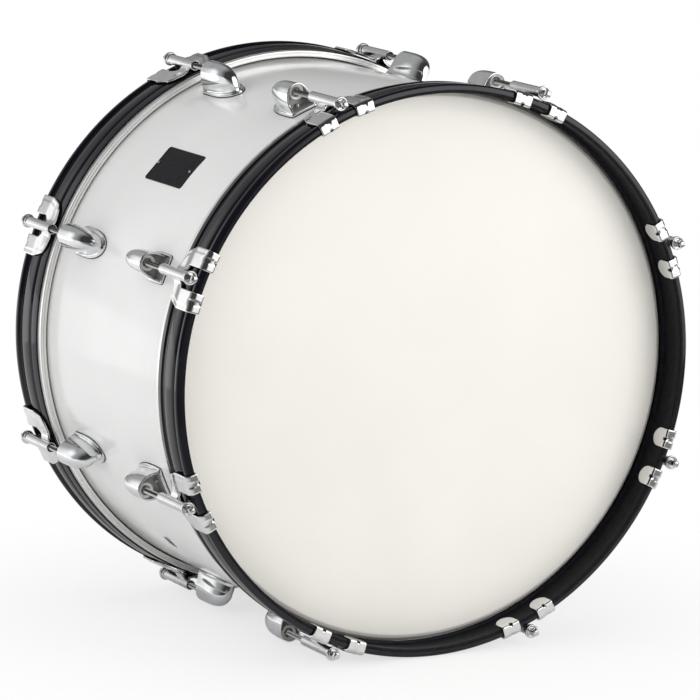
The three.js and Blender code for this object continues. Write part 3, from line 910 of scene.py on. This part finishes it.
def lug():
    """The casting, and which of its faces lie in its mouth.

    It is made of outer slices from tail to mouth, the rim, and inner slices down the pocket.
    The mouth stands back from the plate's front edge by SETBACK s, where s rises smoothly from 0
    at the plate to 1 at 12 mm.
    """
    closer = [0.005, 0.014, 0.028, 0.046, 0.91, 0.92, 0.933, 0.943, 0.9485, 0.951, 0.98, 0.99, 0.997]
    shares = np.concatenate([np.linspace(0, 1, 30), closer])
    rings = []

    def add(ring, y, share_left=1.0):
        """Keeps a slice at y, set back by SETBACK s times the share that is left there."""
        back = SETBACK * smooth(ring[:, 1], PLATE - 1, 12.0) * share_left
        rings.append(np.column_stack([ring[:, 0], y - back, ring[:, 1]]))

    for share in np.sort(shares)[::-1]:
        add(lug_slice(share), lug_mouth - LUG_LENGTH * share, 1 - smooth(share, 0, 0.32))
    outer, inner = lug_slice(0.0), lug_slice(0.0, WALL, PLATE)
    for mix in (0.25, 0.75):
        add(outer * (1 - mix) + inner * mix, lug_mouth + 0.35)
    for depth in (0.0, 1.0, 5.0, 10.0, 15.0, 16.5):
        ring = inner if depth < 16 else inner * 0.96 + np.array([0, 0.5])
        add(ring, lug_mouth - depth, 1 - 0.4 * depth / 16.5)
    points, quads, tris = lofted(np.array(rings))
    sag = points[:, 0] ** 2 / (2 * foot_radius)
    points = points + np.column_stack([np.zeros((len(points), 2)), foot_radius - sag])
    columns = rings[0].shape[0]
    face = np.arange(len(quads) + len(tris))
    walls = (face >= (len(shares) + 2) * columns) & (face < len(quads))
    return (points, quads, tris), walls | (face >= len(quads) + columns)


# %% [markdown]
# In the mouth sits a round swivel nut, under the foot a rubber gasket keeps the casting off the
# wrap, and two screws with washers come through the shell from inside.

# %% Nuts, gaskets and screws
NUT_OUT, NUT_BORE = 7.9, 3.15
SCREW_DEPTHS = (14.0, 44.0)
SCREW, SCREW_HEAD, WASHER = 2.0, 4.0, 5.5


def nut():
    """A turned nut: a ring that fills the mouth's arch, a stepped bore and a narrower shank."""
    face, back = lug_mouth - SETBACK - 0.4, lug_mouth - 26
    outline = rounded([
        (NUT_BORE, back, 0.2), (NUT_OUT - 1.6, back, 0.4), (NUT_OUT - 1.6, face - 5, 0.3),
        (NUT_OUT, face - 4, 0.3), (NUT_OUT, face - 0.3, 0.4), (NUT_OUT - 0.8, face, 0.4),
        (NUT_OUT - 2.9, face - 0.9, 0.3), (NUT_OUT - 3.3, face - 5.0, 0.3),
        (NUT_BORE, face - 6.0, 0.2)], steps=4)
    return moved(turned(outline, 36), z=rod_circle)


def gasket():
    """A sheet of rubber with the foot's outline, between the wrap and the lug."""
    edge = np.array([[lug_slice(share)[5, 0] + 0.35, lug_mouth + 0.4 - (LUG_LENGTH + 0.8) * share]
                     for share in np.linspace(0, 1, 40)])
    ring = np.vstack([edge, edge[::-1] * np.array([-1, 1])])
    sag = ring[:, 0] ** 2 / (2 * foot_radius)
    levels = (shell_radius + 0.05, foot_radius - 0.02)
    return lofted(np.array([np.column_stack([ring, z - sag]) for z in levels]))


def screw(depth):
    """A pan-head screw and its washer, turned about an axis that points out of the shell."""
    inside = ply_inner - 0.1
    outline = rounded([
        (0.3, inside - 3.4, 0), (SCREW_HEAD - 0.8, inside - 3.4, 0.8), (SCREW_HEAD, inside - 0.8, 0.2),
        (WASHER, inside - 0.8, 0.2), (WASHER, inside, 0.2), (SCREW, inside, 0.1),
        (SCREW, foot_radius + 6, 0.4), (0.3, foot_radius + 6, 0)], steps=3)
    return moved(stood_up(turned(outline, 20, closed=False)), y=lug_mouth - depth)


(casting, pocket), swivel_nut, rubber_gasket = lug(), nut(), gasket()
screws = together(*(screw(depth) for depth in SCREW_DEPTHS))
for end, i, angle in stations:
    parts = (("casting", casting, "cast", "chrome", [f"{end}_lug_{i}"]),
             ("nut", swivel_nut, "nut", "rod_steel", []),
             ("gasket", rubber_gasket, "gasket", "badge_plate", []),
             ("screws", screws, "steel", "rod_steel", []))
    for part, solid, surface, slot, nodes in parts:
        piece = make_piece(f"{end}_lug_{part}_{i}", at_place(solid, end, angle), finishes[surface],
                           "drum", nodes)
        if part == "casting":
            refinish(piece, finishes["as cast"], pocket)
print("lug faces:", len(casting[1]), "gasket faces:", len(rubber_gasket[1]))

# %% [markdown]
# The badge is a thin black plate bent to the shell, with a low rim and a pin at each end, and its
# face is left bare. The vent is a flanged eyelet in a hole that goes right through wrap and plies. A
# Boolean cuts that hole, because a ring of quads can't follow a small circle without many more.

# %% Badge and vent grommet
BADGE_ANGLE = math.radians(-46.2)
BADGE_LONG, BADGE_WIDE, BADGE_THICK = 82.0, 42.0, 0.8
PIN, PIN_INSET = 1.6, 5.0
VENT_ANGLE = math.radians(-135)
VENT_Y = 12.0
VENT_BORE = 7.8


def rounded_plate(half_x, half_y, corner):
    """A ring of points round a rectangle with round corners, 10 to a corner."""
    ring = []
    for x, y, start in ((1, 1, 0), (-1, 1, 90), (-1, -1, 180), (1, -1, 270)):
        turn = np.radians(np.linspace(start, start + 90, 10))
        ring.append(np.column_stack([x * (half_x - corner) + corner * np.cos(turn),
                                     y * (half_y - corner) + corner * np.sin(turn)]))
    return np.vstack(ring)


def badge():
    """Stacked outlines: the wall, a rounded edge, the rim and the sunk field inside it."""
    base = shell_radius + 0.05
    stack = []
    for inset, height in ((0, 0), (0, 0.55), (0.15, 0.72), (0.4, 0.8), (1.3, 0.8), (1.6, 0.62), (2.4, 0.6)):
        ring = rounded_plate(BADGE_WIDE / 2 - inset, BADGE_LONG / 2 - inset, max(3.0 - inset, 0.5))
        stack.append(np.column_stack([ring, np.full(len(ring), base + BADGE_THICK * height / 0.8)]))
    for share in (0.75, 0.5, 0.25):
        ring = stack[6][:, :2] * share
        stack.append(np.column_stack([ring, np.full(len(ring), base + BADGE_THICK * 0.75)]))
    return bent_round(lofted(np.array(stack)), shell_radius)


def dome(radius, height):
    """A low round head, turned from a quarter of an ellipse: x = radius sin t, height cos t."""
    turn = np.linspace(0.05, math.pi / 2, 8)
    outline = np.vstack([[[0.02, -0.3], [radius, -0.3]],
                         np.column_stack([radius * np.sin(turn), height * np.cos(turn)])[::-1]])
    return stood_up(turned(outline, 24, closed=False))


def vent():
    """A flanged eyelet: barrel, rolled flange and open bore."""
    outline = rounded([
        (VENT_BORE, ply_inner - 0.6, 0.2), (VENT_BORE + 0.6, ply_inner - 0.6, 0.2),
        (VENT_BORE + 0.6, shell_radius - 0.4, 0.1), (VENT_BORE + 2.1, shell_radius - 0.15, 0.2),
        (VENT_BORE + 1.8, shell_radius + 0.45, 0.3), (VENT_BORE + 0.6, shell_radius + 0.6, 0.3),
        (VENT_BORE, shell_radius + 0.2, 0.3)], steps=5)
    return moved(stood_up(turned(outline, 40)), y=VENT_Y)


def bored(piece, solid):
    """Takes a closed solid out of a piece, and gives the number of faces that are left."""
    drill = put("drill", mesh_of("drill", solid))
    cut = piece.modifiers.new("hole", "BOOLEAN")
    cut.operation, cut.solver, cut.object = "DIFFERENCE", "EXACT", drill
    bpy.context.view_layer.update()
    whole = piece.evaluated_get(bpy.context.evaluated_depsgraph_get())
    finished = bpy.data.meshes.new_from_object(whole)
    piece.modifiers.remove(cut)
    bpy.data.objects.remove(drill)
    piece.data = finished
    finished.set_sharp_from_angle(angle=CREASE)
    return len(finished.polygons)


make_piece("badge_plate", at_place(badge(), "rear", BADGE_ANGLE), finishes["badge"], "drum",
           ["badge"])
pins = together(*(moved(dome(PIN, PIN), y=y, z=shell_radius + BADGE_THICK * 0.8)
                  for y in (PIN_INSET - BADGE_LONG / 2, BADGE_LONG / 2 - PIN_INSET)))
make_piece("badge_pins", at_place(pins, "rear", BADGE_ANGLE), finishes["steel"], "drum")
make_piece("vent_eyelet", at_place(vent(), "rear", VENT_ANGLE), finishes["cast"], "drum",
           ["vent_grommet"])
hole = np.array([[0.4, ply_inner - 8], [VENT_BORE + 0.5, ply_inner - 8],
                 [VENT_BORE + 0.5, shell_radius + 6], [0.4, shell_radius + 6]])
drill_solid = at_place(moved(stood_up(turned(hole, 40, closed=False)), y=VENT_Y), "rear", VENT_ANGLE)
for tube_piece in (ply_tube, wrap_skin):
    print(tube_piece.name, "with its vent hole:", bored(tube_piece, drill_solid), "faces")

# %% [markdown]
# The studio is a white floor and a white paper behind the drum, with two soft boxes: one behind the
# drum on the left and one in front of it on the right. Chrome and black lacquer have hardly any
# colour of their own, so what we see on them is the room: the boxes, the white paper that also
# stands behind the drum for the camera and, past its edges, the dark of the studio.


# %% Floor and room
def separated(tree, output, axis):
    """The x, y or z of a texture coordinate: of a direction in the room, or of a place."""
    where = tree.nodes.new("ShaderNodeTexCoord")
    split = tree.nodes.new("ShaderNodeSeparateXYZ")
    tree.links.new(where.outputs[output], split.inputs["Vector"])
    return split.outputs[axis]


def level(tree, socket, low, high, start, stop):
    """A grey that goes smoothly from low to high while a socket goes from start to stop."""
    node = tree.nodes.new("ShaderNodeMapRange")
    node.interpolation_type = "SMOOTHSTEP"
    for name, value in (("From Min", start), ("From Max", stop), ("To Min", low), ("To Max", high)):
        node.inputs[name].default_value = value
    tree.links.new(socket, node.inputs["Value"])
    return node.outputs["Result"]


def combined(tree, operation, first, second, third=None):
    """One number made of two or three, each a socket or a plain value."""
    node = tree.nodes.new("ShaderNodeMath")
    node.operation = operation
    for slot_number, value in enumerate((first, second, third)):
        if isinstance(value, (int, float)):
            node.inputs[slot_number].default_value = value
        elif value is not None:
            tree.links.new(value, node.inputs[slot_number])
    return node.outputs["Value"]


def mirrored_rays(tree, path_of):
    """1 for the rays with which metal and glass look round the room, and 0 for the others."""
    glossy, through = path_of.outputs["Is Glossy Ray"], path_of.outputs["Is Transmission Ray"]
    return combined(tree, "MAXIMUM", glossy, through)


DARK = 0.045
PAPER_AZIMUTH = math.radians(28)


def room():
    """White behind the drum, for the camera and in reflections, dim past it, pale grey as light.

    How far a direction points at the paper is x sin a + y cos a, where a is the paper's azimuth.
    """
    world = bpy.data.worlds.new("room")
    scene.world = world
    world.use_nodes = True
    tree = world.node_tree
    kinds = {}
    for kind in ("seen", "mirrored", "light"):
        kinds[kind] = tree.nodes.new("ShaderNodeBackground")
        kinds[kind].inputs["Color"].default_value = (1, 1, 1, 1)
    x, y = separated(tree, "Generated", "X"), separated(tree, "Generated", "Y")
    behind, leftward = level(tree, y, 0, 0.36, -0.15, 0.6), level(tree, x, 1, 0.15, 0.1, 0.5)
    glow = combined(tree, "MULTIPLY_ADD", behind, leftward, DARK)
    facing = combined(tree, "MULTIPLY_ADD", y, math.cos(PAPER_AZIMUTH),
                      combined(tree, "MULTIPLY", x, math.sin(PAPER_AZIMUTH)))
    low_down = level(tree, separated(tree, "Generated", "Z"), 1, 0, 0.0, 0.16)
    paper = combined(tree, "MULTIPLY", level(tree, facing, 0, 1, 0.88, 0.96), low_down)
    tree.links.new(combined(tree, "MAXIMUM", glow, paper), kinds["mirrored"].inputs["Strength"])
    tree.links.new(level(tree, x, 0.97, 0.58, -1.0, 0.4), kinds["light"].inputs["Strength"])
    path_of = tree.nodes.new("ShaderNodeLightPath")
    first, second = tree.nodes.new("ShaderNodeMixShader"), tree.nodes.new("ShaderNodeMixShader")
    tree.links.new(mirrored_rays(tree, path_of), first.inputs["Fac"])
    tree.links.new(kinds["light"].outputs["Background"], first.inputs[1])
    tree.links.new(kinds["mirrored"].outputs["Background"], first.inputs[2])
    tree.links.new(path_of.outputs["Is Camera Ray"], second.inputs["Fac"])
    tree.links.new(first.outputs["Shader"], second.inputs[1])
    tree.links.new(kinds["seen"].outputs["Background"], second.inputs[2])
    tree.links.new(second.outputs["Shader"], tree.nodes["World Output"].inputs["Surface"])


FLOOR = 30.0
SHADOW_REACH = (0.1, 0.6)
SHADOW_LEFT = 0.68


def floor_paper():
    """White paper that keeps the drum's shadow and turns into plain white away from it.

    The camera and reflections see the same white behind the drum. In front of it, where the paper
    ends, reflections find the darker floor of the studio.
    """
    material, tree, surface = finish("floor paper", (0.93, 0.93, 0.93), 0.9)
    surface.inputs["Specular IOR Level"].default_value = 0.1
    where, far = tree.nodes.new("ShaderNodeTexCoord"), tree.nodes.new("ShaderNodeVectorMath")
    far.operation = "LENGTH"
    tree.links.new(where.outputs["Object"], far.inputs[0])
    distance = far.outputs["Value"]
    path_of = tree.nodes.new("ShaderNodeLightPath")
    camera_ray, mirror_ray = path_of.outputs["Is Camera Ray"], mirrored_rays(tree, path_of)
    seen = combined(tree, "MULTIPLY", level(tree, distance, SHADOW_LEFT, 1, *SHADOW_REACH), camera_ray)
    share = combined(tree, "MULTIPLY_ADD", level(tree, distance, 0, 1, 0.35, 1.0), mirror_ray, seen)
    ahead = level(tree, separated(tree, "Object", "Y"), 0.22, 1, -0.8, 0.4)
    strength = combined(tree, "MAXIMUM", ahead, camera_ray)
    plain, mix = tree.nodes.new("ShaderNodeEmission"), tree.nodes.new("ShaderNodeMixShader")
    tree.links.new(strength, plain.inputs["Strength"])
    tree.links.new(share, mix.inputs["Fac"])
    tree.links.new(surface.outputs["BSDF"], mix.inputs[1])
    tree.links.new(plain.outputs["Emission"], mix.inputs[2])
    tree.links.new(mix.outputs["Shader"], tree.nodes["Material Output"].inputs["Surface"])
    return material


floor_mesh = bpy.data.meshes.new("floor")
corners = [(-FLOOR, -FLOOR, 0), (FLOOR, -FLOOR, 0), (FLOOR, FLOOR, 0), (-FLOOR, FLOOR, 0)]
floor_mesh.from_pydata(corners, [], [(0, 1, 2, 3)])
floor_mesh.materials.append(floor_paper())
put("floor", floor_mesh)
room()
print("floor", 2 * FLOOR, "m across, shadow kept to", SHADOW_REACH[1], "m from the middle")

# %% [markdown]
# The room's pale light fills the shadows, and two soft lamps give the light its direction: a strong
# one in front on the right and a weak one on the left. Chrome doesn't mirror the lamps. Beside the
# white paper it mirrors two boxes, which are cards that only reflections see, so the brightness of
# the white shell and the stripes on the chrome are set by themselves.


# %% Lamps and the boxes that chrome mirrors
def soft_lamp(name, place, size, power):
    """A square area lamp that looks at the middle of the drum, and isn't mirrored itself."""
    data = bpy.data.lights.new(name, "AREA")
    data.shape, data.size, data.energy = "SQUARE", size, power
    lamp = put(name, data)
    aim = Vector((0, 0, axis_height * mm)) - Vector(place)
    turn = aim.to_track_quat("-Z", "Y").to_matrix().to_4x4()
    lamp.matrix_world = Matrix.Translation(place) @ turn
    lamp.visible_glossy = False
    print(name, "gives", power, "W")


def mirrored_box(name, azimuth, distance, aside, half_width, high, strength, foot, full):
    """An upright glowing card that only reflections see, with soft borders.

    Its brightness is strength times three smooth steps: from 1 to 0 towards the sides, from foot
    to 1 over the lower third, and from 1 to 0 over the upper half. full is the share of the half
    width that is fully bright, and aside moves the card along itself.
    """
    middle = math.radians(azimuth)
    out = np.array([math.sin(middle), -math.cos(middle), 0])
    side = np.array([math.cos(middle), math.sin(middle), 0])
    edge = [out * distance + side * (aside + s * half_width) + np.array([0, 0, z])
            for s, z in ((-1, 0.0), (1, 0.0), (1, high), (-1, high))]
    mesh = bpy.data.meshes.new(name)
    mesh.from_pydata([tuple(corner) for corner in edge], [], [(0, 1, 2, 3)])
    across = mesh.uv_layers.new(name="across")
    across.data.foreach_set("uv", np.array([-1, 0, 1, 0, 1, 1, -1, 1], float))
    material = bpy.data.materials.new(name)
    material.use_nodes = True
    tree = material.node_tree
    tree.nodes.remove(tree.nodes["Principled BSDF"])
    place_on, split = tree.nodes.new("ShaderNodeUVMap"), tree.nodes.new("ShaderNodeSeparateXYZ")
    place_on.uv_map = "across"
    tree.links.new(place_on.outputs["UV"], split.inputs["Vector"])
    width, height = combined(tree, "ABSOLUTE", split.outputs["X"], 0.0), split.outputs["Y"]
    sideways = level(tree, width, strength, 0, full, 1.0)
    lower, upper = level(tree, height, foot, 1, 0.0, 0.35), level(tree, height, 1, 0, 0.5, 1.0)
    upward = combined(tree, "MULTIPLY", lower, upper)
    glow, clear = tree.nodes.new("ShaderNodeEmission"), tree.nodes.new("ShaderNodeBsdfTransparent")
    mix = tree.nodes.new("ShaderNodeAddShader")
    tree.links.new(combined(tree, "MULTIPLY", sideways, upward), glow.inputs["Strength"])
    tree.links.new(glow.outputs["Emission"], mix.inputs[0])
    tree.links.new(clear.outputs["BSDF"], mix.inputs[1])
    tree.links.new(mix.outputs["Shader"], tree.nodes["Material Output"].inputs["Surface"])
    mesh.materials.append(material)
    card = put(name, mesh)
    card.visible_camera = card.visible_diffuse = card.visible_shadow = False
    print(name, "is", 2 * half_width, "by", high, "m")


soft_lamp("lamp in front", (1.9, -2.9, 1.2), 2.3, 54)
soft_lamp("lamp on the left", (-2.9, 0.4, 1.0), 1.9, 11)
mirrored_box("box behind on the left", azimuth=208, distance=1.6, aside=0.40, half_width=0.60,
             high=1.7, strength=0.8, foot=0.95, full=0.1)
mirrored_box("box in front on the right", azimuth=40, distance=1.7, aside=0.0, half_width=1.45,
             high=2.6, strength=2.3, foot=0.4, full=0.45)

# %% [markdown]
# The camera stands almost 5 m away, 28 degrees round to the left of the drum's axis and 0.9 m above
# it, and looks down by 10 degrees. Its lens is long, so that the far hoop looks nearly as large as
# the near one. Its place and its three directions come from a fit to the places of the rods, the
# claws and the lugs in the picture.

# %% Camera
camera_data = bpy.data.cameras.new("camera")
camera_data.sensor_width = 36.0
camera_data.lens = 242.7
camera = put("camera", camera_data)
right, down, ahead = ((0.88436, -0.46656, 0.01518), (-0.07165, -0.16782, -0.98321),
                      (0.46127, 0.86842, -0.18185))
place = Vector((-2.2446, -4.2296, 0.8763 + axis_height * mm))
turn = Matrix((right, [-c for c in down], [-c for c in ahead])).transposed().to_4x4()
camera.matrix_world = Matrix.Translation(place) @ turn
scene.camera = camera
print("camera lens", camera_data.lens, "mm, from", round(place.length, 2), "m")
scene.view_settings.view_transform = "Standard"
